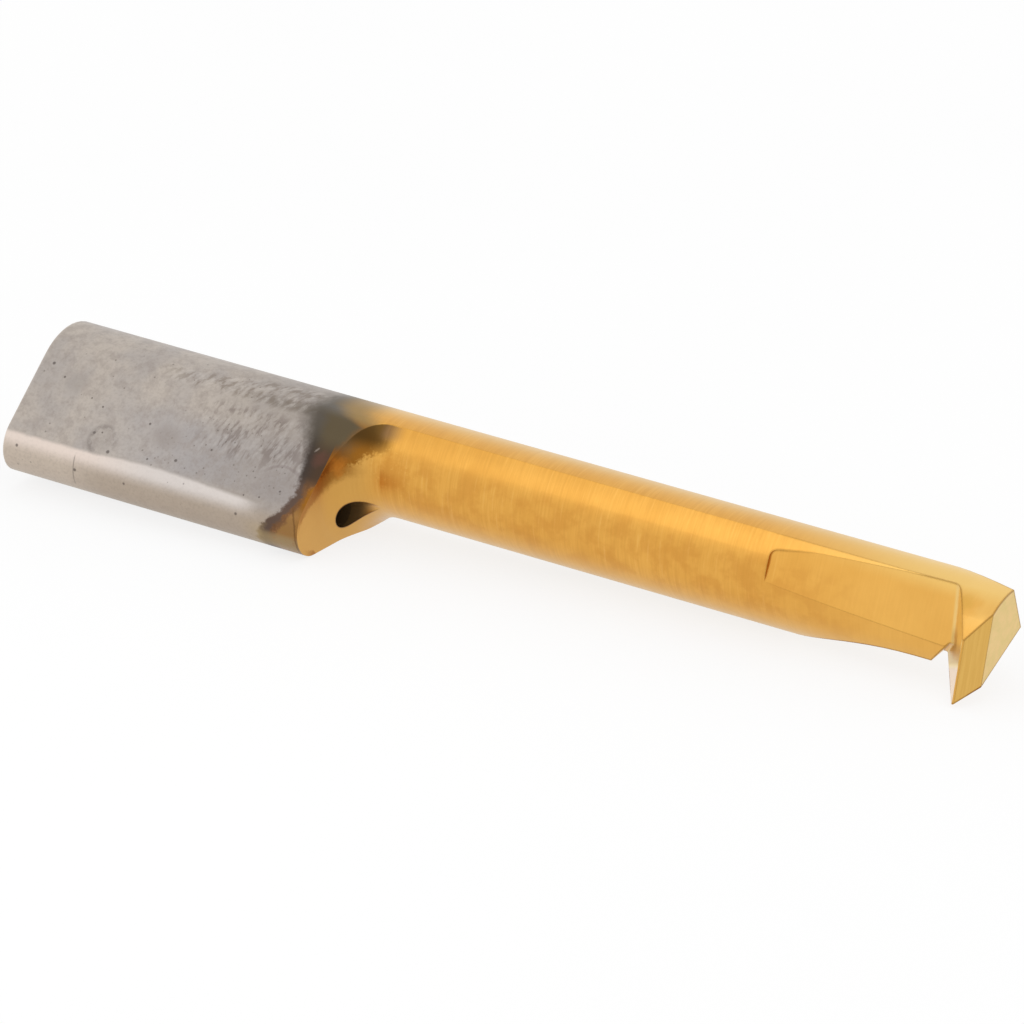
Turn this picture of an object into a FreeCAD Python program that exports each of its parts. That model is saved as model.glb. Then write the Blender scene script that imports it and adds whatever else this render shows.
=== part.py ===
"""Solid carbide internal threading bar: a teardrop shank, a round neck and a ground 60 degree tooth.

The bar's own frame: X runs from the rear face to the tooth, Z is the way the tooth points, and
Y is the side away from the rake face. The origin is the centre of the shank's large round, which
also lies in the plane of the rake face. Lengths are in mm and angles in degrees.
"""

import FreeCAD
import Part
import os
from math import acos, asin, atan, cos, degrees, radians, sin, sqrt, tan

import Sketcher

V = FreeCAD.Vector

# Driving dimensions
SIZES = {
    # Shank: two rounds joined by two flats, the small round turned away from the rake face
    "shank_height": 7.0,
    "large_radius": 2.45,
    "small_radius": 1.19,
    "shank_turn": 8.1,
    "shank_length": 13.2,
    # Coolant hole, parallel to the shank on the rake side
    "coolant_radius": 0.58,
    "coolant_side": 0.53,
    "coolant_above_neck": 0.02,
    # Round neck, ground about an axis that is set back from the shank's
    "neck_radius": 2.47,
    "neck_setback": 1.265,
    "shoulder_radius": 1.6,
    # Rake face and the arc in which the wheel leaves it
    "rake_length": 2.29,
    "wheel_radius": 10.7,
    # Tooth on the rake face
    "tip_along": 39.39,
    "tip_height": 2.8,
    "tip_radius": 0.06,
    "thread_angle": 60.0,
    "tooth_depth": 1.09,
    "front_lean": 2.0,
    "crest_clearance": 30.5,
    "lead_lean": 5.4,
    # Notch at the foot of the tooth
    "notch_height": 0.64,
    "notch_width": 0.168,
    "notch_wall_lean": 20.0,
    "notch_corner": 0.1,
    "notch_rise": 17.0,
    # Clearance flat behind the tooth
    "flat_length": 8.31,
    "flat_depth": 0.094,
    "flat_direction": 42.0,
    "flat_slope": 1.5,
    "flat_corner": 0.51,
    "flat_corner_angle": 10.0,
    "flat_corner_radius": 0.3,
    "flat_fillet": 0.45,
    # Relief on the back of the head
    "back_height": 1.222,
    "back_slope": 15.7,
}
size = dict(SIZES)

doc = FreeCAD.newDocument("threading_bar")
sheet = doc.addObject("Spreadsheet::Sheet", "Sizes")
for row, (alias, value) in enumerate(SIZES.items(), start=1):
    sheet.set(f"A{row}", alias)
    sheet.set(f"B{row}", str(value))
    sheet.setAlias(f"B{row}", alias)
doc.recompute()

body = doc.addObject("PartDesign::Body", "threading_bar")
body.Label = "threading_bar"


def sketch_on(role, name, offset=None):
    """A sketch on one of the body's origin planes, moved and turned by the offset."""
    plane = next(f for f in body.Origin.OriginFeatures if f.Role == role)
    sketch = body.newObject("Sketcher::SketchObject", name)
    sketch.AttachmentSupport = [(plane, "")]
    sketch.MapMode = "FlatFace"
    if offset is not None:
        sketch.AttachmentOffset = offset
    return sketch


def line(sketch, start, end):
    return sketch.addGeometry(Part.LineSegment(V(*start, 0), V(*end, 0)), False)


def arc(sketch, start, middle, end):
    return sketch.addGeometry(Part.Arc(V(*start, 0), V(*middle, 0), V(*end, 0)), False)


def outline(sketch, points):
    """A closed outline of straight lines through the points."""
    first = sketch.GeometryCount
    for start, end in zip(points, points[1:] + points[:1]):
        line(sketch, start, end)
    count = len(points)
    for k in range(count):
        sketch.addConstraint(
            Sketcher.Constraint("Coincident", first + k, 2, first + (k + 1) % count, 1)
        )
    return first


def driven(sketch, name, expression, *constraint):
    """A named dimension that takes its value from the sheet."""
    index = sketch.addConstraint(Sketcher.Constraint(*constraint))
    sketch.renameConstraint(index, name)
    sketch.setExpression(f"Constraints.{name}", expression)


def cut(sketch, name, direction=None):
    """A pocket through the whole bar to both sides of the sketch, along the direction if one is given."""
    pocket = body.newObject("PartDesign::Pocket", name)
    pocket.Profile = sketch
    pocket.SideType = "Symmetric"
    pocket.Type = "Length"
    pocket.setExpression("Length", "4 * Sizes.shank_height")
    if direction is not None:
        pocket.UseCustomVector = True
        pocket.Direction = direction
        pocket.AlongSketchNormal = False
    sketch.Visibility = False
    return pocket


# Directions that several features share
half_angle = radians(size["thread_angle"] / 2)
leading = V(sin(half_angle), 0, -cos(half_angle))
trailing = V(-sin(half_angle), 0, -cos(half_angle))
front_lean = radians(size["front_lean"])
front_edge = V(sin(front_lean), 0, -cos(front_lean))
crest = V(tan(radians(size["lead_lean"])), 1, -tan(radians(size["crest_clearance"])))
tip = V(size["tip_along"], 0, size["tip_height"])
trailing_normal = crest.cross(trailing).normalize()
outside = 2 * size["shank_height"]

# Blank: the shank's section, drawn for the whole length of the bar
centre_span = size["shank_height"] - size["large_radius"] - size["small_radius"]
flat_angle = asin((size["large_radius"] - size["small_radius"]) / centre_span)
turn = radians(size["shank_turn"])
small_centre = V(centre_span * sin(turn), centre_span * cos(turn), 0)
near_normal = V(cos(turn - flat_angle), -sin(turn - flat_angle), 0)
far_normal = V(-cos(turn + flat_angle), sin(turn + flat_angle), 0)


def on_round(centre, radius, normal):
    point = centre + normal * radius
    return (point.x, point.y)


section = sketch_on("YZ_Plane", "blank_section")
back = V(-sin(turn), -cos(turn), 0)
large, small = size["large_radius"], size["small_radius"]
large_arc = arc(
    section,
    on_round(V(), large, far_normal),
    on_round(V(), large, back),
    on_round(V(), large, near_normal),
)
near_flat = line(
    section, on_round(V(), large, near_normal), on_round(small_centre, small, near_normal)
)
small_arc = arc(
    section,
    on_round(small_centre, small, near_normal),
    on_round(small_centre, small, back * -1),
    on_round(small_centre, small, far_normal),
)
far_flat = line(
    section, on_round(small_centre, small, far_normal), on_round(V(), large, far_normal)
)
centreline = line(section, (0, 0), (small_centre.x, small_centre.y))
section.toggleConstruction(centreline)
for first, first_end, second, second_end in (
    (large_arc, 2, near_flat, 1),
    (near_flat, 2, small_arc, 1),
    (small_arc, 2, far_flat, 1),
    (far_flat, 2, large_arc, 1),
):
    section.addConstraint(Sketcher.Constraint("Tangent", first, first_end, second, second_end))
section.addConstraint(Sketcher.Constraint("Coincident", large_arc, 3, -1, 1))
section.addConstraint(Sketcher.Constraint("Coincident", centreline, 1, -1, 1))
section.addConstraint(Sketcher.Constraint("Coincident", centreline, 2, small_arc, 3))
driven(section, "large_radius", "Sizes.large_radius", "Radius", large_arc, large)
driven(section, "small_radius", "Sizes.small_radius", "Radius", small_arc, small)
driven(
    section,
    "centre_span",
    "Sizes.shank_height - Sizes.large_radius - Sizes.small_radius",
    "Distance",
    centreline,
    centre_span,
)
driven(
    section, "shank_turn", "90 - Sizes.shank_turn", "Angle", -1, 1, centreline, 1, radians(90) - turn
)

blank = body.newObject("PartDesign::Pad", "blank")
blank.Profile = section
blank.setExpression("Length", "Sizes.tip_along + Sizes.shank_height")
doc.recompute()
blank_volume = body.Shape.Volume

# Neck: the blank is ground round about the neck's axis, from the shoulder to the tooth
neck_axis_height = -size["neck_setback"]
neck_top = neck_axis_height + size["neck_radius"]
shoulder_along = size["shank_length"]
fillet = size["shoulder_radius"]
foot = tip + trailing * ((size["tip_height"] - neck_top) / cos(half_angle))
neck_end = foot.x - size["notch_corner"] / 10
corner = fillet * (1 - sin(radians(45)))

neck_profile = sketch_on("XZ_Plane", "neck_profile")
fillet_arc = arc(
    neck_profile,
    (shoulder_along + fillet, neck_top),
    (shoulder_along + corner, neck_top + corner),
    (shoulder_along, neck_top + fillet),
)
shoulder = line(neck_profile, (shoulder_along, neck_top + fillet), (shoulder_along, outside))
rim = line(neck_profile, (shoulder_along, outside), (neck_end, outside))
end_wall = line(neck_profile, (neck_end, outside), (neck_end, neck_top))
surface = line(neck_profile, (neck_end, neck_top), (shoulder_along + fillet, neck_top))
axis = line(neck_profile, (0, neck_axis_height), (neck_end, neck_axis_height))
neck_profile.toggleConstruction(axis)
for first, second in ((shoulder, rim), (rim, end_wall), (end_wall, surface)):
    neck_profile.addConstraint(Sketcher.Constraint("Coincident", first, 2, second, 1))
neck_profile.addConstraint(Sketcher.Constraint("Tangent", surface, 2, fillet_arc, 2))
neck_profile.addConstraint(Sketcher.Constraint("Tangent", fillet_arc, 1, shoulder, 1))
for level in (rim, surface, axis):
    neck_profile.addConstraint(Sketcher.Constraint("Horizontal", level))
for upright in (shoulder, end_wall):
    neck_profile.addConstraint(Sketcher.Constraint("Vertical", upright))
driven(neck_profile, "shoulder_radius", "Sizes.shoulder_radius", "Radius", fillet_arc, fillet)
driven(
    neck_profile, "shank_length", "Sizes.shank_length", "DistanceX", -1, 1, shoulder, 1, shoulder_along
)
driven(
    neck_profile, "neck_setback", "Sizes.neck_setback", "DistanceY", axis, 1, -1, 1, size["neck_setback"]
)
driven(
    neck_profile, "neck_radius", "Sizes.neck_radius", "DistanceY", axis, 2, surface, 1, size["neck_radius"]
)
neck = body.newObject("PartDesign::Groove", "neck")
neck.Profile = neck_profile
neck.ReferenceAxis = (neck_profile, ["Axis0"])
neck.Angle = 360.0
doc.recompute()
neck_volume = body.Shape.Volume

# Coolant hole: from the rear face to the shoulder's fillet, just clear of the neck
coolant_reach = size["neck_radius"] + size["coolant_above_neck"] + size["coolant_radius"]
coolant_height = sqrt(coolant_reach**2 - size["coolant_side"] ** 2) + neck_axis_height
coolant_sketch = sketch_on("YZ_Plane", "coolant_circle")
circle = coolant_sketch.addGeometry(
    Part.Circle(
        V(-size["coolant_side"], coolant_height, 0), V(0, 0, 1), size["coolant_radius"]
    ),
    False,
)
driven(
    coolant_sketch, "coolant_radius", "Sizes.coolant_radius", "Radius", circle, size["coolant_radius"]
)
driven(
    coolant_sketch,
    "coolant_side",
    "Sizes.coolant_side",
    "DistanceX",
    circle,
    3,
    -1,
    1,
    size["coolant_side"],
)
driven(
    coolant_sketch,
    "coolant_height",
    "sqrt((Sizes.neck_radius + Sizes.coolant_above_neck + Sizes.coolant_radius)^2"
    " - Sizes.coolant_side^2) - Sizes.neck_setback",
    "DistanceY",
    -1,
    1,
    circle,
    3,
    coolant_height,
)
coolant_hole = body.newObject("PartDesign::Pocket", "coolant_hole")
coolant_hole.Profile = coolant_sketch
coolant_hole.Type = "Length"
coolant_hole.Reversed = True
coolant_hole.setExpression("Length", "Sizes.shank_length + Sizes.shoulder_radius")
doc.recompute()
coolant_volume = body.Shape.Volume

# Rake face: a flat through the bar's axis that runs out of the neck in the wheel's arc
wheel = size["wheel_radius"]
rake_start = size["tip_along"] - size["rake_length"]
arc_end = wheel * sin(radians(60))
rake_sketch = sketch_on("XY_Plane", "rake_outline")
far_end = size["tip_along"] + outside
run_out = arc(
    rake_sketch,
    (rake_start, 0),
    (rake_start - wheel * sin(radians(30)), -wheel * (1 - cos(radians(30)))),
    (rake_start - arc_end, -wheel * (1 - cos(radians(60)))),
)
floor_line = line(rake_sketch, (far_end, 0), (rake_start, 0))
end_line = line(rake_sketch, (far_end, -wheel), (far_end, 0))
under_line = line(rake_sketch, (rake_start - arc_end, -wheel), (far_end, -wheel))
start_line = line(
    rake_sketch,
    (rake_start - arc_end, -wheel * (1 - cos(radians(60)))),
    (rake_start - arc_end, -wheel),
)
for first, first_end, second, second_end in (
    (start_line, 2, under_line, 1),
    (under_line, 2, end_line, 1),
    (end_line, 2, floor_line, 1),
    (start_line, 1, run_out, 2),
):
    rake_sketch.addConstraint(
        Sketcher.Constraint("Coincident", first, first_end, second, second_end)
    )
rake_sketch.addConstraint(Sketcher.Constraint("Tangent", floor_line, 2, run_out, 1))
rake_sketch.addConstraint(Sketcher.Constraint("PointOnObject", floor_line, 1, -1))
rake_sketch.addConstraint(Sketcher.Constraint("Horizontal", floor_line))
driven(rake_sketch, "wheel_radius", "Sizes.wheel_radius", "Radius", run_out, wheel)
driven(
    rake_sketch,
    "rake_start",
    "Sizes.tip_along - Sizes.rake_length",
    "DistanceX",
    -1,
    1,
    floor_line,
    2,
    rake_start,
)
rake_cut = cut(rake_sketch, "rake_face")
doc.recompute()
rake_volume = body.Shape.Volume

# Front of the head: the leading flank and the front face in one profile
flank_foot = tip + leading * (size["tooth_depth"] / cos(half_angle))
front_end = flank_foot + front_edge * outside
front_sketch = sketch_on("XZ_Plane", "tooth_front")
outline(
    front_sketch,
    [
        (tip.x - leading.x * outside, tip.z - leading.z * outside),
        (flank_foot.x, flank_foot.z),
        (front_end.x, front_end.z),
        (tip.x + outside, front_end.z),
        (tip.x + outside, tip.z - leading.z * outside),
    ],
)
front_cut = cut(front_sketch, "leading_flank_and_front", crest)
doc.recompute()
front_volume = body.Shape.Volume

# Back of the head: one flat that rises to the front corner
corner_along = flank_foot.x + (flank_foot.z + size["back_height"]) * tan(front_lean)
back_rise = tan(radians(size["back_slope"]))
back_sketch = sketch_on("XZ_Plane", "back_relief_outline")
outline(
    back_sketch,
    [
        (corner_along + outside, -size["back_height"] + outside * back_rise),
        (corner_along - outside, -size["back_height"] - outside * back_rise),
        (corner_along - outside, -2 * outside),
        (corner_along + outside, -2 * outside),
    ],
)
back_cut = cut(back_sketch, "back_relief")
doc.recompute()
back_volume = body.Shape.Volume

# Trailing flank with the notch at its foot, which climbs along the flank's plane
notch_height = size["notch_height"]
notch_foot = tip + trailing * ((size["tip_height"] - notch_height) / cos(half_angle))
notch_rise = tan(radians(size["notch_rise"]))
notch_run = V(
    (trailing_normal.y + trailing_normal.z * notch_rise) / -trailing_normal.x, 1, notch_rise
)
notch_start = notch_foot.x - size["notch_width"]
wall_lean = tan(radians(size["notch_wall_lean"]))
above = tip - trailing * outside
notch_sketch = sketch_on("XZ_Plane", "trailing_flank_and_notch")
outline(
    notch_sketch,
    [
        (above.x, above.z),
        (notch_foot.x, notch_height),
        (notch_start, notch_height),
        (notch_start - (above.z - notch_height) * wall_lean, above.z),
    ],
)
notch_cut = cut(notch_sketch, "trailing_flank", notch_run)
doc.recompute()
notch_volume = body.Shape.Volume

# Clearance flat behind the tooth, sketched on its own plane and open to the outside
direction = radians(size["flat_direction"])
slope = radians(size["flat_slope"])
across = V(0, cos(direction), sin(direction))
flat_normal = across * cos(slope) + V(sin(slope), 0, 0)
flat_along = V(cos(slope), 0, 0) - across * sin(slope)
flat_side = flat_normal.cross(flat_along)
flat_start = size["tip_along"] - size["flat_length"]
flat_distance = size["neck_radius"] - size["flat_depth"]
flat_origin = V(flat_start, 0, neck_axis_height) + across * (flat_distance / cos(slope))
flat_place = FreeCAD.Placement(
    flat_origin, FreeCAD.Rotation(flat_along, flat_side, flat_normal, "ZXY")
)
wall_reach = trailing_normal.dot(tip - flat_origin) / trailing_normal.dot(flat_along)
wall_slant = trailing_normal.dot(flat_side) / trailing_normal.dot(flat_along)
flat_middle = wall_reach / 2
side_rise = tan(radians(size["flat_corner_angle"]))
corner_radius = size["flat_corner_radius"]
start_sketch = sketch_on("XY_Plane", "clearance_flat_start", flat_place)
start_outline = outline(
    start_sketch,
    [
        (0, size["flat_corner"]),
        (0, -outside / 2),
        (wall_reach * 0.8, -outside / 2),
        (wall_reach * 0.8, size["flat_corner"] + wall_reach * 0.8 * side_rise),
    ],
)
start_sketch.fillet(
    start_outline + 3,
    start_outline,
    V(corner_radius, size["flat_corner"], 0),
    V(0, size["flat_corner"] - corner_radius, 0),
    corner_radius,
    True,
    False,
)
start_cut = body.newObject("PartDesign::Pocket", "clearance_flat_start_cut")
start_cut.Profile = start_sketch
start_cut.Reversed = True
start_cut.setExpression("Length", "Sizes.shank_height / 2")
start_sketch.Visibility = False
doc.recompute()
start_volume = body.Shape.Volume

far_side = 4 * outside
end_sketch = sketch_on("XY_Plane", "clearance_flat_end", flat_place)
outline(
    end_sketch,
    [
        (flat_middle, -far_side),
        (wall_reach + wall_slant * far_side, -far_side),
        (wall_reach - wall_slant * outside, outside),
        (flat_middle, outside),
    ],
)
wall_run = V(0, 1, -trailing_normal.y / trailing_normal.z)
end_cut = body.newObject("PartDesign::Pocket", "clearance_flat_end_cut")
end_cut.Profile = end_sketch
end_cut.UseCustomVector = True
end_cut.Direction = wall_run
end_cut.AlongSketchNormal = True
end_cut.setExpression("Length", "Sizes.shank_height / 2")
end_sketch.Visibility = False
doc.recompute()
end_volume = body.Shape.Volume


def edges_along(start, run):
    """Names of the bar's edges that lie on the line through the start."""
    way = V(run).normalize()
    names = []
    for number, edge in enumerate(body.Shape.Edges, start=1):
        gaps = [(vertex.Point - start).cross(way).Length for vertex in edge.Vertexes]
        if len(gaps) == 2 and max(gaps) < 0.001:
            names.append(f"Edge{number}")
    return names


def rounded(name, start, run, radius):
    """A fillet on the edges along a line."""
    fillet = body.newObject("PartDesign::Fillet", name)
    fillet.Base = (body.Tip if body.Tip is not fillet else fillet.BaseFeature, edges_along(start, run))
    fillet.setExpression("Radius", f"Sizes.{radius}")
    return fillet


# Small rounds: the tooth's tip, the foot of the clearance flat's wall and the notch's corner
tip_round = rounded("tip_round", tip, crest, "tip_radius")
doc.recompute()
tip_volume = body.Shape.Volume
wall_foot = flat_origin + flat_along * wall_reach
wall_round = rounded("wall_round", wall_foot, flat_normal.cross(trailing_normal), "flat_fillet")
doc.recompute()
notch_round = rounded("notch_round", notch_foot, notch_run, "notch_corner")
doc.recompute()

# Every cut has to take something away
volumes = [
    blank_volume,
    neck_volume,
    coolant_volume,
    rake_volume,
    front_volume,
    back_volume,
    notch_volume,
    start_volume,
    end_volume,
    tip_volume,
]
for before, after in zip(volumes, volumes[1:]):
    assert after < before - 0.001, "a cut missed the bar"

# The bar lies on the far flat of its shank, nose down until the neck touches as well
neck_reach = (
    size["neck_radius"] - size["neck_setback"] * far_normal.y
)
drop = large - neck_reach
contact_depth = size["neck_radius"] * -far_normal.x
contact_along = rake_start - sqrt(wheel**2 - (wheel - contact_depth) ** 2)
nose_down = degrees(atan(drop / (contact_along - shoulder_along)))
rolled = FreeCAD.Rotation(V(1, 0, 0), 90 + degrees(flat_angle + turn))
tilted = FreeCAD.Rotation(V(0, 1, 0), nose_down)
rest = tilted.multiply(rolled)
lying = body.Shape.copy()
lying.Placement = FreeCAD.Placement(V(), rest)
box = lying.optimalBoundingBox(False, False)
body.Placement = FreeCAD.Placement(
    V(-(box.XMin + box.XMax) / 2, -(box.YMin + box.YMax) / 2, -box.ZMin), rest
)
doc.recompute()

for item in doc.Objects:
    if "Invalid" in item.State or "Error" in item.State:
        raise RuntimeError(f"{item.Label} failed: {item.State}")
if body.Shape.isNull() or not body.Shape.isValid():
    raise RuntimeError("the bar's shape is not valid")

os.makedirs("parts", exist_ok=True)
body.Shape.exportStep(f"parts/{body.Label}.step")
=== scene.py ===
"""Looks of a solid carbide threading bar: bare grey shank, heat-tinted band, gold neck and head.

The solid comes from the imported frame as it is. This script gives it its coated carbide finish, and
adds the floor, the light and the camera. The finish is laid out in the bar's own frame, in
millimetres, so that the tint band, the coating's edge and the marks sit where they do on the real
bar. In the functions that lay it out, f is the finish, and bare numbers are places and sizes in
that frame, degrees round the neck, levels of a noise, or shares from 0 to 1.
"""

from math import pi, radians, sqrt, tan

import bpy
from mathutils import Euler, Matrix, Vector

MM = 0.001
WHITE = (1.0, 1.0, 1.0, 1.0)

# The bar's own frame: X towards the tooth, Z the way the tooth points, Y away from the rake face
BAR_PLACE = Vector((-20.1272, 0.9274, 2.9199)) * MM
BAR_TURN = (radians(120.124), radians(2.014), 0.0)

# Sizes of the bar that the finish follows, in millimetres. A pair in brackets is side and height,
# and FLAT_NORMAL is the way in which the shank's seen flat looks.
LARGE_RADIUS = 2.45
SMALL_RADIUS = 1.19
SMALL_CENTRE = (0.4735, 3.3268)
FLAT_NORMAL = (0.9705, 0.2411)
FLAT_FOOT, FLAT_TOP = 0.6, 3.6
SHOULDER = 13.2
NECK_AXIS_HEIGHT = -1.265
HOLE_CENTRE = (-0.53, 1.759)
HOLE_RADIUS = 0.58
CREST_SLOPE = tan(radians(30.5))
EDGE_WIDTH = 0.13

# Dark specks on the shank's seen side: place along the bar, height and radius
SPECKS = (
    (0.55, 0.86, 0.09), (7.31, 3.17, 0.09), (10.48, 4.3, 0.08), (0.6, 4.2, 0.08),
    (3.27, 4.37, 0.09), (3.56, 3.01, 0.08), (3.87, 2.92, 0.05), (4.47, 3.58, 0.1),
    (5.58, 2.1, 0.07), (6.16, 3.42, 0.06), (5.49, 4.36, 0.07), (1.26, 1.26, 0.07),
    (2.77, 1.76, 0.05), (3.38, 1.97, 0.06), (8.5, 2.4, 0.07), (10.6, 3.7, 0.05),
    (11.25, 3.62, 0.05), (11.95, 3.2, 0.06),
)

# The heat tint's edges as (height, place along the bar), and how wide its start is at a height
DARK_START = (
    (-2.45, 12.6), (-1.2, 12.3), (-0.4, 11.95), (0.4, 12.2), (1.2, 12.42), (2.2, 12.52),
    (2.6, 12.55), (3.2, 12.72), (3.6, 12.55), (3.85, 12.45), (4.0, 12.22), (4.2, 11.9),
    (4.38, 11.66), (4.52, 11.5),
)
START_WIDTH = ((-2.45, 1.2), (0.0, 1.2), (0.8, 1.0), (1.5, 0.5), (2.2, 0.25), (4.6, 0.22))
DARK_END = (
    (-2.45, 12.45), (-0.9, 12.55), (-0.4, 13.1), (0.0, 14.0), (0.8, 13.65), (1.2, 13.5),
    (2.0, 13.34), (2.5, 13.28), (2.8, 13.1), (3.2, 13.05), (4.6, 13.1),
)
GOLD_START = (
    (-2.45, 14.4), (-0.8, 14.5), (-0.3, 15.1), (0.4, 15.2), (0.8, 14.7), (1.2, 14.3),
    (1.6, 14.0), (2.0, 13.75), (2.8, 13.6), (4.6, 13.7),
)

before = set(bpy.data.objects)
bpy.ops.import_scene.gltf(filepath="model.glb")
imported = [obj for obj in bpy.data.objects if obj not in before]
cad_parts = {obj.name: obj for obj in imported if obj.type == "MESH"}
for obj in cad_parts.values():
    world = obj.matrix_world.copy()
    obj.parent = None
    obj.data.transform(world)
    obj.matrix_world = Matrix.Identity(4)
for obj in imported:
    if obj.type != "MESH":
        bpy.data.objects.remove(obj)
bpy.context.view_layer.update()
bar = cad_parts["threading_bar"]


def tone(red, green, blue):
    """A colour as it looks on screen, 0 to 255, in the renderer's linear values."""
    values = [v / 255 for v in (red, green, blue)]
    linear = [v / 12.92 if v <= 0.04045 else ((v + 0.055) / 1.055) ** 2.4 for v in values]
    return (*linear, 1.0)


class Wire:
    """A node's output that takes part in Python arithmetic."""

    def __init__(self, finish, socket):
        self.finish = finish
        self.socket = socket

    def maths(self, operation, *values):
        inputs = dict(enumerate(values))
        return self.finish.node("ShaderNodeMath", {"operation": operation}, inputs)

    def angle_over(self, run):
        """The angle in radians of a slope that rises by this value over the run."""
        return self.maths("ARCTAN2", self, run)

    def __add__(self, other):
        return self.maths("ADD", self, other)

    def __sub__(self, other):
        return self.maths("SUBTRACT", self, other)

    def __rsub__(self, other):
        return self.maths("SUBTRACT", other, self)

    def __mul__(self, other):
        return self.maths("MULTIPLY", self, other)

    def __truediv__(self, other):
        return self.maths("DIVIDE", self, other)

    def __rtruediv__(self, other):
        return self.maths("DIVIDE", other, self)

    def __abs__(self):
        return self.maths("ABSOLUTE", self)

    __radd__ = __add__
    __rmul__ = __mul__


class Finish:
    """A material or a world, and the one way its nodes are made."""

    def __init__(self, owner):
        self.owner = owner
        owner.use_nodes = True
        self.tree = owner.node_tree
        self.tree.nodes.clear()

    def node(self, kind, settings=None, inputs=None, output=0):
        """A new node: its settings come first, then the values or links of its sockets."""
        made = self.tree.nodes.new(kind)
        for key, value in (settings or {}).items():
            if key == "stops":
                self.set_stops(made.color_ramp, value)
            else:
                setattr(made, key, value)
        for key, value in (inputs or {}).items():
            if isinstance(value, Wire):
                self.tree.links.new(value.socket, made.inputs[key])
            else:
                made.inputs[key].default_value = value
        return Wire(self, made.outputs[output]) if made.outputs else None

    @staticmethod
    def set_stops(ramp, stops):
        while len(ramp.elements) < len(stops):
            ramp.elements.new(1.0)
        for number, (place, colour) in enumerate(stops):
            ramp.elements[number].position = place
            ramp.elements[number].color = colour

    def also(self, wire, output):
        """Another output of the same node."""
        return Wire(self, wire.socket.node.outputs[output])

    def step(self, value, low, high):
        """0 at low, 1 at high, smooth between; low may be the larger of the two."""
        if low < high:
            ends = {"From Min": low, "From Max": high, "To Min": 0.0, "To Max": 1.0}
        else:
            ends = {"From Min": high, "From Max": low, "To Min": 1.0, "To Max": 0.0}
        smooth = {"interpolation_type": "SMOOTHSTEP"}
        return self.node("ShaderNodeMapRange", smooth, {"Value": value, **ends})

    def between(self, value, start, full_from, full_to, end):
        """1 from full_from to full_to, and 0 before the start and past the end."""
        return self.step(value, start, full_from) * self.step(value, end, full_to)

    def mix(self, mask, first, second):
        """The first colour where the mask is 0, the second where it is 1."""
        inputs = {0: mask, 6: first, 7: second}
        return self.node("ShaderNodeMix", {"data_type": "RGBA"}, inputs, output=2)

    def mix_value(self, mask, first, second):
        return self.node("ShaderNodeMix", {}, {0: mask, 2: first, 3: second})

    def vector(self, x, y, z):
        return self.node("ShaderNodeCombineXYZ", {}, {0: x, 1: y, 2: z})

    def distance(self, place, x, y, z):
        inputs = {0: place, 1: (x, y, z)}
        return self.node("ShaderNodeVectorMath", {"operation": "DISTANCE"}, inputs, "Value")

    def dot(self, first, second):
        inputs = {0: first, 1: second}
        return self.node("ShaderNodeVectorMath", {"operation": "DOT_PRODUCT"}, inputs, "Value")

    def noise(self, place, scale, detail, roughness):
        inputs = {"Vector": place, "Scale": scale, "Detail": detail, "Roughness": roughness}
        return self.node("ShaderNodeTexNoise", {}, inputs)

    def streaks(self, x, y, z, detail, roughness):
        """A noise that is drawn out, as its coordinates are scaled one by one."""
        return self.noise(self.vector(x, y, z), 1.0, detail, roughness)

    def curve(self, value, points):
        """A number that runs in straight lines through the points."""
        low, high = points[0][0], points[-1][0]
        least = min(p[1] for p in points)
        span = max(p[1] for p in points) - least
        stops = []
        for place, level in points:
            grey = (level - least) / span
            stops.append(((place - low) / (high - low), (grey, grey, grey, 1.0)))
        share = (value - low) / (high - low)
        return self.node("ShaderNodeValToRGB", {"stops": stops}, {0: share}) * span + least


class BarFinish(Finish):
    """A finish laid out in the bar's own frame, in millimetres."""

    def __init__(self, name):
        super().__init__(bpy.data.materials.new(name))
        self.own = self.node(
            "ShaderNodeMapping",
            {"vector_type": "TEXTURE"},
            {
                "Vector": self.node("ShaderNodeTexCoord", output="Object"),
                "Location": BAR_PLACE,
                "Rotation": BAR_TURN,
                "Scale": (MM, MM, MM),
            },
        )
        self.along = self.node("ShaderNodeSeparateXYZ", {}, {0: self.own})
        self.side = self.also(self.along, "Y")
        self.height = self.also(self.along, "Z")
        self.cloud = self.noise(self.own, 0.55, 3.0, 0.6)
        self.mottle = self.noise(self.own, 2.6, 4.0, 0.65)
        self.grain = self.noise(self.own, 9.0, 3.0, 0.6)
        # Degrees round the neck's axis, from straight up towards the side
        self.neck_turn = self.side.angle_over(self.height - NECK_AXIS_HEIGHT) * (180 / pi)
        # Length of arc round the large round, from the face that looks sideways
        self.round_turn = self.height.angle_over(self.side) * LARGE_RADIUS
        # How squarely a face looks along the bar, 1 at the front and -1 at the back
        self.normal = self.node("ShaderNodeNewGeometry", output="Normal")
        self.facing = self.dot(self.normal, Euler(BAR_TURN).to_matrix() @ Vector((1, 0, 0)))

    def ragged(self, value, coarse=0.0, fine=0.0):
        """The value made uneven: coarse is the mottle's full swing in it, fine is the grain's."""
        if coarse:
            value = value + (self.mottle - 0.5) * coarse
        if fine:
            value = value + (self.grain - 0.5) * fine
        return value

    def off_line(self, side, height):
        """Distance from the line that runs along the bar at this side and height."""
        return self.distance(self.vector(0.0, self.side, self.height), 0.0, side, height)

    def on_shoulder(self):
        """1 on the shoulder's flat ring and everything ahead of it."""
        return self.step(self.along, SHOULDER - 0.004, SHOULDER - 0.001)


def slanting_noise(f, cosine, sine, across, lengthwise, seed):
    """Strokes on the large round that lean by an angle, closer across them than along them."""
    over = f.along * cosine + f.round_turn * sine
    run = f.round_turn * cosine - f.along * sine
    return f.streaks(over * across, run * lengthwise, seed, 3.0, 0.6)


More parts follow.
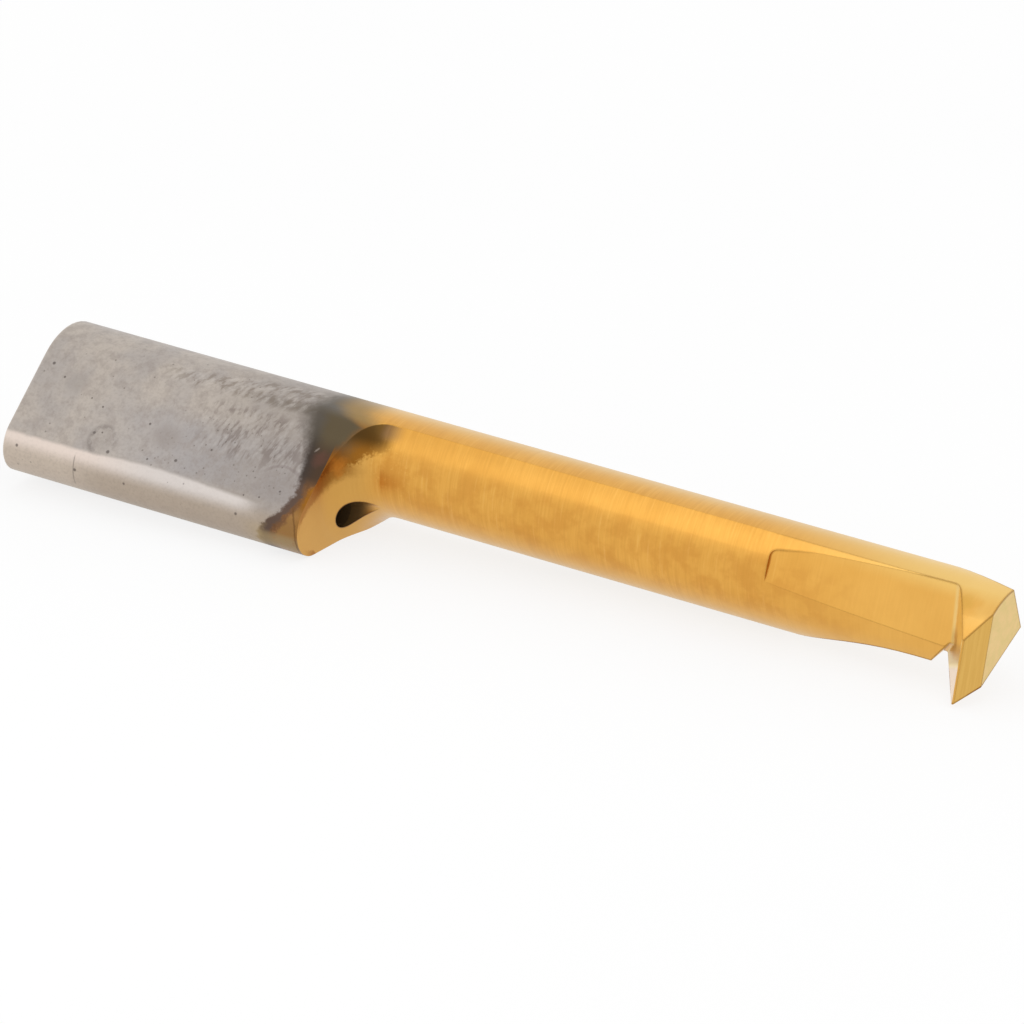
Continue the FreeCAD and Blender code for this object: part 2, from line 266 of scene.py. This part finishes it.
def handling_marks_and_shade(f, colour):
    """Short slanting light and brown marks: a row along the large round, and a patch above it; also
    a painted dark band of shade along the large round.
    """
    marks = slanting_noise(f, 0.96, 0.28, 4.0, 1.4, 0.0)
    strokes = slanting_noise(f, 0.87, 0.49, 4.4, 1.9, 7.0)
    patchy = f.step(f.streaks(f.along * 0.9, f.round_turn * 1.4, 4.0, 2.0, 0.5), 0.3, 0.55)
    row = f.curve(f.along, [(4.0, -0.15), (6.5, -0.2), (9.0, -0.5), (12.5, -0.8)])
    row_width = f.curve(f.along, [(4.0, 0.3), (7.0, 0.4), (9.5, 0.75), (12.5, 0.75)])
    in_row = f.step(abs(f.round_turn - row) / row_width, 1.25, 0.6) * f.step(f.along, 4.2, 6.6)
    above = f.between(f.round_turn, 0.2, 0.7, 1.9, 2.6) * f.step(f.along, 6.4, 8.8) * patchy
    # Painted shade: a dark band that runs along the large round
    line = f.between(f.round_turn, -0.5, -0.2, -0.05, 0.25) * f.step(f.along, 7.5, 11.0)
    colour = f.mix(line * 0.55, colour, tone(120, 111, 101))
    colour = f.mix(f.step(strokes, 0.5, 0.62) * in_row * 0.5, colour, tone(126, 113, 100))
    colour = f.mix(f.step(strokes, 0.48, 0.38) * in_row * 0.4, colour, tone(202, 194, 186))
    colour = f.mix(f.step(marks, 0.49, 0.6) * above * 0.62, colour, tone(126, 114, 108))
    return f.mix(f.step(marks, 0.48, 0.38) * above * 0.3, colour, tone(198, 191, 186))


def seen_side(height):
    """How far to the side the shank's seen surface lies at a height."""
    if height > FLAT_TOP:
        return SMALL_CENTRE[0] + sqrt(SMALL_RADIUS**2 - (height - SMALL_CENTRE[1]) ** 2)
    if height > FLAT_FOOT:
        return (LARGE_RADIUS - height * FLAT_NORMAL[1]) / FLAT_NORMAL[0]
    return sqrt(LARGE_RADIUS**2 - height**2)


def shank_specks(f, colour):
    """Fine scattered specks, the finest only on the cool side, and the dark ones of the list."""
    cool_side = f.between(f.along, 5.5, 7.5, 11.8, 12.4) * f.between(f.height, 0.9, 1.4, 3.4, 3.7)
    # Cells to the millimetre, radius in cells, share of the cells that hold a speck, strength
    for scale, size, share, strength in (
        (1.25, 0.075, 0.25, 0.7),
        (3.1, 0.13, 0.45, 0.45),
        (5.5, 0.2, 0.6, cool_side * 0.5),
    ):
        off_speck = f.node("ShaderNodeTexVoronoi", {}, {"Vector": f.own, "Scale": scale})
        luck = f.node("ShaderNodeSeparateColor", {}, {0: f.also(off_speck, "Color")})
        reach = f.step(luck, 1.0 - share, 1.0) * size
        speck = f.step(off_speck - reach, 0.02, -0.02)
        colour = f.mix(speck * strength, colour, tone(96, 88, 82))
    for x, z, size in SPECKS:
        near = f.ragged(f.distance(f.own, x, seen_side(z), z), fine=0.05)
        colour = f.mix(f.step(near, size, size * 0.4) * 0.75, colour, tone(84, 76, 72))
    return colour


def shank_stains(f, colour):
    """A ring stain, a tide mark, a hairline near the rear and two faint patches."""
    face = f.vector(f.along, 0.0, f.height)
    ring_radius, tide_radius = 0.56, 1.05
    around = f.ragged(f.distance(face, 4.03, 0.0, 3.2), 0.34, 0.2)
    broken = f.step(f.along, 4.5, 3.8) * 0.5 + f.step(f.mottle, 0.42, 0.58) * 0.5
    ring = f.step(abs(around - ring_radius), 0.15, 0.03) * f.step(f.height, 3.9, 3.75) * broken
    colour = f.mix(ring * 0.5 + f.step(around, 0.6, 0.3) * 0.14, colour, tone(122, 114, 110))
    tide = f.ragged(f.distance(face, 11.75, 0.0, 3.3), 0.2)
    tide_line = f.step(abs(tide - tide_radius), 0.1, 0.02) * f.step(f.height, 2.9, 2.3)
    tide_pool = f.step(tide, tide_radius, 0.85)
    colour = f.mix(tide_line * 0.35 + tide_pool * 0.06, colour, tone(124, 110, 108))
    hairline = f.step(abs(f.along - 3.2), 0.04, 0.01) * f.step(f.height, 3.95, 4.1)
    colour = f.mix(hairline * f.step(f.side, 0.3, 0.5) * 0.55, colour, tone(120, 110, 104))
    stretch = 0.7
    drawn_out = f.vector(f.along * stretch, 0.0, f.height)
    for x, z, size, shade in (
        (6.5, 2.41, 0.6, tone(140, 124, 110)),
        (1.9, 1.3, 0.5, tone(146, 138, 132)),
    ):
        near = f.ragged(f.distance(drawn_out, x * stretch, 0.0, z), 1.1, 0.5)
        colour = f.mix(f.step(near, size, size * 0.1) * 0.28, colour, shade)
    return colour


def bare_shank(f):
    """Ground carbide: warm grey, cooler and darker towards the coating, with a painted highlight
    along the crest.
    """
    colour = f.mix(f.step(f.cloud, 0.35, 0.68), tone(191, 181, 171), tone(179, 171, 165))
    cool = f.step(f.along, 1.5, 8.0) * f.between(f.height, 0.8, 2.0, 3.4, 3.9)
    colour = f.mix(cool * 0.5, colour, tone(166, 163, 166))
    colour = f.mix(f.step(f.mottle, 0.42, 0.66) * 0.42, colour, tone(158, 147, 140))
    colour = f.mix(f.step(f.along, 6.0, 11.5) * 0.5, colour, tone(152, 143, 136))

    # The small round is sandy, with a painted highlight along its crest, but the rear face is plain
    not_rear = f.step(f.facing, -0.9, -0.7)
    small_round = f.step(f.height, 3.85, 4.25) * not_rear
    sandy = f.mix(f.step(f.along, 2.5, 4.8), tone(200, 185, 169), tone(181, 165, 148))
    colour = f.mix(small_round * 0.85, colour, sandy)
    crest = f.curve(
        f.along,
        [
            (0.0, 3.78), (3.0, 3.77), (4.4, 3.71), (6.4, 3.62),
            (8.5, 3.68), (9.4, 3.73), (10.5, 3.78), (13.0, 3.86),
        ],
    )
    above_crest = f.ragged(f.height - crest, 0.14, 0.06)
    # A painted highlight: a bright band from the crest line over the small round
    crest_highlight = f.step(above_crest, -0.05, 0.12) * f.step(f.height, 4.38, 3.98)
    crest_highlight = crest_highlight * f.step(f.along, 11.7, 10.3) * not_rear
    gleam = f.mix(f.step(f.along, 3.0, 7.0), tone(238, 222, 211), tone(222, 214, 209))
    colour = f.mix(crest_highlight * 0.8, colour, gleam)

    colour = handling_marks_and_shade(f, colour)
    colour = shank_specks(f, colour)
    colour = shank_stains(f, colour)
    return f.mix(f.step(f.grain, 0.42, 0.72) * (0.2 - crest_highlight * 0.14), colour, tone(132, 122, 114))


def gold_coating(f, rings):
    """The coating as it is on the neck, with the grinder's fine rings showing through, painted shade
    low on it and a painted paler outline.
    """
    colour = f.mix(f.step(f.cloud, 0.3, 0.7), tone(231, 173, 83), tone(225, 166, 77))
    blotch = f.streaks(f.along * 1.1, f.neck_turn * 0.045, 2.0, 4.0, 0.6)
    # Brown blotches low on the neck: the coating's own mottle, deepened as painted shade
    shaded_lower_neck = f.between(f.neck_turn, -20.0, 8.0, 44.0, 62.0)
    shaded_lower_neck = shaded_lower_neck * f.between(f.along, 15.0, 16.2, 30.0, 38.0)
    colour = f.mix(shaded_lower_neck * f.step(blotch, 0.42, 0.62) * 0.5, colour, tone(206, 142, 62))
    ringed = 1.0 - f.step(f.along, 29.0, 34.0) * 0.65
    colour = f.mix(f.step(rings, 0.4, 0.66) * ringed * 0.4, colour, tone(208, 149, 68))
    colour = f.mix(f.step(rings, 0.44, 0.3) * ringed * 0.25, colour, tone(242, 196, 116))

    # Towards the outline the coating is painted paler and more yellow, a painted grazing reflection;
    # towards the head it is paler and more yellow too
    away = f.step(f.neck_turn, 72.0, 106.0) + f.step(f.neck_turn, 16.0, -42.0)
    colour = f.mix(away * 0.82, colour, tone(227, 192, 127))
    back_round = f.step(abs(f.neck_turn), 60.0, 78.0)
    headward = f.step(f.along, 30.0, 38.5) * (back_round * 0.6 + 0.15)
    return f.mix(headward, colour, tone(241, 205, 124))


def head_faces(f, colour):
    """The head's ground faces; also the masks of the flank's painted reflection and of all that
    looks back.
    """
    head = f.step(f.along, 37.9, 38.3)
    tooth_line = f.height + f.side * CREST_SLOPE
    crown = f.step(f.along, 38.5, 38.8) * f.between(f.facing, -0.3, -0.1, 0.3, 0.5)
    worn = f.ragged(f.distance(f.own, 38.95, 2.3, 0.1), 0.5)
    colour = f.mix(crown * f.step(worn, 0.55, 0.15) * 0.5, colour, tone(214, 166, 76))
    rubbed = crown * f.step(worn, 0.5, 0.9) * f.step(f.height, 1.3, 0.5)
    colour = f.mix(rubbed * 0.3, colour, tone(244, 204, 124))

    front = f.step(f.facing, 0.93, 0.98) * head
    facet = f.mix(f.step(f.mottle, 0.35, 0.65), tone(233, 198, 128), tone(225, 196, 122))
    colour = f.mix(front, colour, facet)
    strokes = f.streaks(tooth_line * 9.0, f.side * 0.5, 5.0, 3.0, 0.6)
    leading = f.between(f.facing, 0.7, 0.78, 0.9, 0.94) * head
    ground = f.mix(f.step(strokes, 0.35, 0.65), tone(224, 180, 97), tone(218, 172, 90))
    colour = f.mix(leading, colour, ground)

    # Behind the tooth: the flat's end wall, with painted shade at its foot by the notch, and the
    # trailing flank above it, painted pale as a reflection of light from below
    flank_line = f.height - f.side * CREST_SLOPE
    behind = f.step(f.facing, -0.15, -0.4) * head
    wall = f.mix(f.step(f.facing, -0.4, -0.64), tone(238, 200, 124), tone(254, 236, 166))
    colour = f.mix(behind, colour, wall)
    shaded_low_wall = behind * f.between(flank_line, 0.35, 0.7, 1.05, 1.3)
    colour = f.mix(shaded_low_wall * 0.6, colour, tone(202, 160, 86))
    # Painted shade in the notch at the wall's foot
    foot = f.distance(f.own, 38.75, 1.1, 0.95)
    colour = f.mix(behind * f.step(foot, 0.7, 0.2) * 0.5, colour, tone(186, 148, 80))
    # Painted reflection: the trailing flank near the tip, pale and less metallic
    pale = behind * f.step(flank_line, 1.1, 1.4)
    return f.mix(pale, colour, tone(246, 228, 208)), pale, behind


def scorched_brown(f, into):
    """The narrow brown start of the tint high on the shank, ochre to olive on the small round."""
    colour = f.mix(f.step(into, 0.1, 0.26), tone(98, 80, 70), tone(122, 88, 60))
    blotch = f.step(f.mottle, 0.45, 0.65) * f.step(into, 0.1, 0.3)
    colour = f.mix(blotch * 0.6, colour, tone(96, 68, 48))
    ochre = f.step(into, 0.3, 0.55) * f.step(f.height, 3.3, 3.9)
    colour = f.mix(ochre, colour, tone(152, 114, 68))
    olive = f.step(f.height, 4.4, 4.51)
    colour = f.mix(olive * 0.8, colour, tone(160, 138, 102))
    freckle = f.step(f.grain, 0.55, 0.7) * f.step(into, 0.15, 0.3)
    return f.mix(freckle * 0.5, colour, tone(158, 112, 78))


def heat_tint(f, bare, gold):
    """From bare grey through smoke and brown to gold; also the mask of where the coating is."""
    high = f.step(f.height, 2.3, 2.9)
    place = f.ragged(f.along, high * 0.3 + 0.32, high * 0.1 + 0.12)
    past_start = place - f.curve(f.height, DARK_START)
    dark_end = f.curve(f.height, DARK_END)
    gold_start = f.curve(f.height, GOLD_START)

    deep = f.mix(f.step(f.height, 0.6, 1.6), tone(98, 86, 66), tone(80, 63, 50))
    deep = f.mix(f.step(f.height, -0.1, -0.7), deep, tone(112, 106, 98))
    first_dark = f.step(past_start, 0.5, -0.1) * f.step(f.height, -0.9, 0.0)
    slate = f.mix(f.step(f.height, 0.2, 1.2), tone(92, 88, 86), tone(64, 61, 60))
    deep = f.mix(first_dark * 0.6, deep, slate)
    into = past_start - f.step(f.height, 3.95, 4.25) * 0.25
    deep = f.mix(high, deep, scorched_brown(f, into))

    amber = f.mix(f.step(f.height, 0.2, -0.5), tone(152, 100, 36), tone(158, 130, 84))
    late = (place - dark_end) / (gold_start - dark_end)
    less_amber = 1.0 - f.step(f.height, 3.3, 3.9) * 0.7
    warm = f.mix(f.step(late, -0.35, 0.25) * less_amber, deep, amber)
    warm = f.mix(f.step(late, 0.25, 1.05), warm, gold)
    early = past_start / f.curve(f.height, START_WIDTH)
    colour = f.mix(f.step(early, -1.0, 0.0), bare, warm)

    # On the small round: a dark hairline crack in the tint, and straw where the grey ends
    crack_line = f.curve(f.height, [(3.5, 12.7), (4.0, 12.93), (4.2, 13.05), (4.52, 13.12)])
    crack = f.step(abs(f.ragged(f.along - crack_line, fine=0.08)), 0.06, 0.015)
    crack = crack * f.step(f.height, 3.5, 3.8)
    crack = crack * f.step(f.along, SHOULDER - 0.005, SHOULDER - 0.015)
    colour = f.mix(crack * 0.6, colour, tone(104, 72, 42))
    straw = f.step(f.height, 4.25, 4.45) * f.step(f.along, 10.4, 12.0) * f.step(into, 0.0, -0.35)
    colour = f.mix(straw * 0.5, colour, tone(186, 164, 124))

    # A purple brown spot in the dark part, and a pale scratch beside it
    spot = f.ragged(f.distance(f.own, 12.86, 2.13, 1.59), 0.5)
    colour = f.mix(f.step(spot, 0.45, 0.1) * 0.4, colour, tone(112, 76, 66))
    run = f.along * 0.58 - f.height * 0.81
    across = (f.along * 0.81 + f.height * 0.58) * 3.0
    scratch = f.ragged(f.distance(f.vector(run, 0.0, across), 6.25, 0.0, 32.82), fine=0.2)
    colour = f.mix(f.step(scratch, 0.17, 0.05) * 0.5, colour, tone(168, 156, 146))
    return colour, f.step(past_start, 0.1, 0.8)


def shoulder_tint(f, colour, gold):
    """Gold on the shoulder above a mottled line, and a thinning amber rim along its edge."""
    shoulder = f.on_shoulder()

    # The brown's line climbs towards the scoop as the arc runs into the neck
    brown_line = f.curve(
        f.along,
        [
            (SHOULDER, 29.0), (13.4, 31.0), (13.9, 36.0),
            (14.25, 41.5), (14.8, 48.0), (15.4, 58.0),
        ],
    )
    dull = shoulder * f.step(f.along, 15.0, 13.8) * f.step(f.neck_turn, 52.0, 40.0)
    dull_gold = f.mix(dull * 0.85, gold, tone(209, 160, 84))
    ground_gold = f.step(f.neck_turn - f.ragged(brown_line, 10.0, 16.0), 3.0, -3.0)
    ground_gold = ground_gold * f.step(f.neck_turn, -84.0, -66.0)
    colour = f.mix(shoulder * ground_gold, colour, dull_gold)

    # The rim is measured inwards from the flat, and from the small round above it
    flat_inset = LARGE_RADIUS - (f.side * FLAT_NORMAL[0] + f.height * FLAT_NORMAL[1])
    small_inset = SMALL_RADIUS - f.off_line(*SMALL_CENTRE)
    inset = f.mix_value(f.step(f.height, 3.4, 3.9), flat_inset, small_inset)
    rim_width = f.curve(
        f.height, [(0.9, 1.2), (1.7, 0.95), (2.2, 0.8), (2.8, 0.58), (3.4, 0.36), (4.5, 0.14)]
    )
    rim = f.step(f.ragged(inset, 0.3, 0.2) / rim_width, 1.1, 0.55)
    rim = rim * shoulder * f.step(f.along, 15.2, 14.6)
    rim = rim * f.step(f.height, 0.8, 1.4) * f.step(f.height, 4.4, 3.9)
    amber = f.mix(f.step(f.height, 2.0, 3.2), tone(140, 88, 28), tone(172, 114, 46))
    return f.mix(rim * 0.85, colour, amber)


def shoulder_marks_and_shade(f, colour):
    """Painted shade in the scoop beside the neck's root, orange marks and paler specks on the
    shoulder.
    """
    inset = LARGE_RADIUS - f.off_line(0.0, 0.0)
    ground = f.step(inset, 0.004, 0.03) * f.step(f.along, 13.3, 13.6)
    # Painted shade in the hollow where the shoulder's fillet meets the neck, fading to the side
    scoop = f.step(f.neck_turn, 44.0, 58.0) * f.step(f.along, 15.35, 14.5) * ground
    colour = f.mix(scoop * 0.9, colour, tone(80, 57, 26))
    scoop_shade_fade = f.between(f.along, 14.4, 14.8, 15.0, 15.6) * f.step(f.neck_turn, 56.0, 66.0) * ground
    colour = f.mix(scoop_shade_fade * 0.4, colour, tone(134, 106, 84))
    fleck = f.ragged(f.distance(f.own, 13.45, 1.73, 1.44), 0.7)
    colour = f.mix(f.step(fleck, 0.5, 0.1) * f.on_shoulder() * 0.45, colour, tone(206, 128, 48))
    orange = f.ragged(f.distance(f.own, 15.3, 1.35, 0.8), 1.4, 0.7)
    colour = f.mix(f.step(orange, 0.95, 0.3) * 0.38, colour, tone(200, 130, 50))
    pale_specks = f.step(f.grain, 0.62, 0.7) * f.step(orange, 1.6, 0.8)
    return f.mix(pale_specks * 0.35, colour, tone(240, 196, 104))


def edge_lines(f, colour, behind):
    """Painted dark edge reflections where ground faces meet on the gold and round the coolant hole,
    a painted pale glint round the bare end.
    """
    softened = f.node("ShaderNodeBevel", {"samples": 8}, {"Radius": EDGE_WIDTH * MM})
    meet = f.dot(softened, f.normal)
    edge = f.step(meet, 0.992, 0.93)
    on_head = f.step(f.along, 30.5, 31.6)
    on_neck = f.step(f.along, 13.6, 14.2) * (1.0 - on_head)
    # Painted dark reflections along the edges of the neck and head
    colour = f.mix(edge * on_neck * 0.35, colour, tone(146, 104, 48))
    bold = f.step(meet, 0.998, 0.966) * on_head * (0.75 - behind * 0.5)
    colour = f.mix(bold, colour, tone(156, 112, 50))
    # Painted shade on the coolant hole's rim
    by_hole = f.step(f.off_line(*HOLE_CENTRE), HOLE_RADIUS + 0.17, HOLE_RADIUS + 0.1)
    hole_edge = edge * by_hole * f.step(f.along, SHOULDER, SHOULDER + 0.2)
    colour = f.mix(hole_edge * 0.7, colour, tone(128, 70, 26))
    # A painted pale glint along the bare end's edges
    return f.mix(edge * f.step(f.along, 1.0, 0.2) * 0.3, colour, tone(226, 216, 206))


def coolant_hole_shade(f, colour):
    """Painted shade in the bore, darker inwards from its mouth in the shoulder; also the mask of
    where it lies.
    """
    bore_shade = f.step(f.off_line(*HOLE_CENTRE), HOLE_RADIUS + 0.04, HOLE_RADIUS - 0.01)
    bore_shade = bore_shade * f.step(f.along, 14.45, 13.5)
    return f.mix(bore_shade, colour, tone(84, 64, 38)), bore_shade


def coated_carbide():
    """The bar's one material, from the bare rear end to the gold nose."""
    f = BarFinish("coated_carbide")
    rings = f.streaks(f.along * 12.0, f.side * 0.5, f.height * 0.5, 4.0, 0.7)
    gold, pale, behind = head_faces(f, gold_coating(f, rings))
    colour, coated = heat_tint(f, bare_shank(f), gold)
    colour = shoulder_tint(f, colour, gold)
    colour = shoulder_marks_and_shade(f, colour)
    colour = edge_lines(f, colour, behind)
    colour, bore_shade = coolant_hole_shade(f, colour)

    grinding = f.streaks(f.along * 14.0, f.side * 0.4, f.height * 0.4, 3.0, 0.7)
    relief = f.mix(coated, f.grain * 0.5 + f.mottle * 0.5, grinding)
    bump = {"Strength": 0.35, "Distance": 0.008 * MM, "Height": relief}
    roughness = 0.42 - coated * 0.1 + (f.mottle - 0.5) * 0.12 + (rings - 0.5) * coated * 0.1
    surface = f.node(
        "ShaderNodeBsdfPrincipled",
        {},
        {
            "Base Color": colour,
            # Metallic is lowered on the flank's painted reflection and in the bore's painted shade
            "Metallic": 1.0 - pale * 0.6 - bore_shade * 0.85,
            "Roughness": roughness + pale * 0.2,
            "Normal": f.node("ShaderNodeBump", {}, bump),
        },
    )
    f.node("ShaderNodeOutputMaterial", {}, {"Surface": surface})
    return f.owner


def pale_floor():
    """A floor that looks white to the camera and in the bar, and keeps the bar's shadow."""
    reach = 1.5
    level = -0.01 * MM
    corners = [(x * reach, y * reach, level) for x, y in ((-1, -1), (1, -1), (1, 1), (-1, 1))]
    mesh = bpy.data.meshes.new("floor")
    mesh.from_pydata(corners, [], [(0, 1, 2, 3)])
    floor = bpy.data.objects.new("floor", mesh)
    bpy.context.scene.collection.objects.link(floor)

    f = Finish(bpy.data.materials.new("pale_floor"))
    seen = f.node("ShaderNodeLightPath", output="Is Camera Ray")
    mirrored = f.also(seen, "Is Glossy Ray")
    whitened = 0.8
    speckle = f.noise(f.node("ShaderNodeTexCoord", output="Object"), 40.0, 3.0, 0.5)
    shade = f.mix(f.step(speckle, 0.3, 0.7), (0.94, 0.94, 0.94, 1.0), (0.96, 0.96, 0.96, 1.0))
    matt = f.node("ShaderNodeBsdfDiffuse", {}, {0: shade})
    white = f.node("ShaderNodeEmission", {}, {"Color": WHITE, "Strength": 1.0})
    look = f.node("ShaderNodeMixShader", {}, {0: seen * whitened, 1: matt, 2: white})
    look = f.node("ShaderNodeMixShader", {}, {0: mirrored * whitened, 1: look, 2: white})
    f.node("ShaderNodeOutputMaterial", {}, {"Surface": look})
    mesh.materials.append(f.owner)


def soft_light():
    """An even pale room, and a soft lamp close over the head."""
    world = bpy.data.worlds.new("studio")
    bpy.context.scene.world = world
    f = Finish(world)
    room = f.node("ShaderNodeBackground", {}, {"Color": WHITE, "Strength": 1.0})
    f.node("ShaderNodeOutputWorld", {}, {"Surface": room})

    lamp = bpy.data.lights.new("soft_lamp", "AREA")
    lamp.shape = "RECTANGLE"
    lamp.size = 0.024
    lamp.size_y = 0.05
    lamp.energy = 0.0022
    holder = bpy.data.objects.new("soft_lamp", lamp)
    lit_place = Vector((0.015, -0.0015, 0.004))
    direction = Vector((-0.448, -0.634, 0.627)).normalized()
    lamp_distance = 0.06
    holder.location = lit_place + direction * lamp_distance
    holder.rotation_euler = direction.to_track_quat("Z", "Y").to_euler()
    bpy.context.scene.collection.objects.link(holder)


def camera():
    """The photograph's view: a long lens from the front left, a little above the bar."""
    lens = bpy.data.cameras.new("camera")
    lens.sensor_width = 36.0
    lens.lens = 242.93
    lens.clip_start = 0.01
    lens.clip_end = 10.0
    holder = bpy.data.objects.new("camera", lens)
    holder.location = (0.121497, -0.199718, 0.094321)
    holder.rotation_euler = Euler((radians(68.567), radians(-1.327), radians(31.809)))
    bpy.context.scene.collection.objects.link(holder)
    bpy.context.scene.camera = holder


carbide = coated_carbide()
for slot in bar.material_slots:
    slot.material = carbide

pale_floor()
soft_light()
camera()
bpy.context.scene.view_settings.view_transform = "Standard"
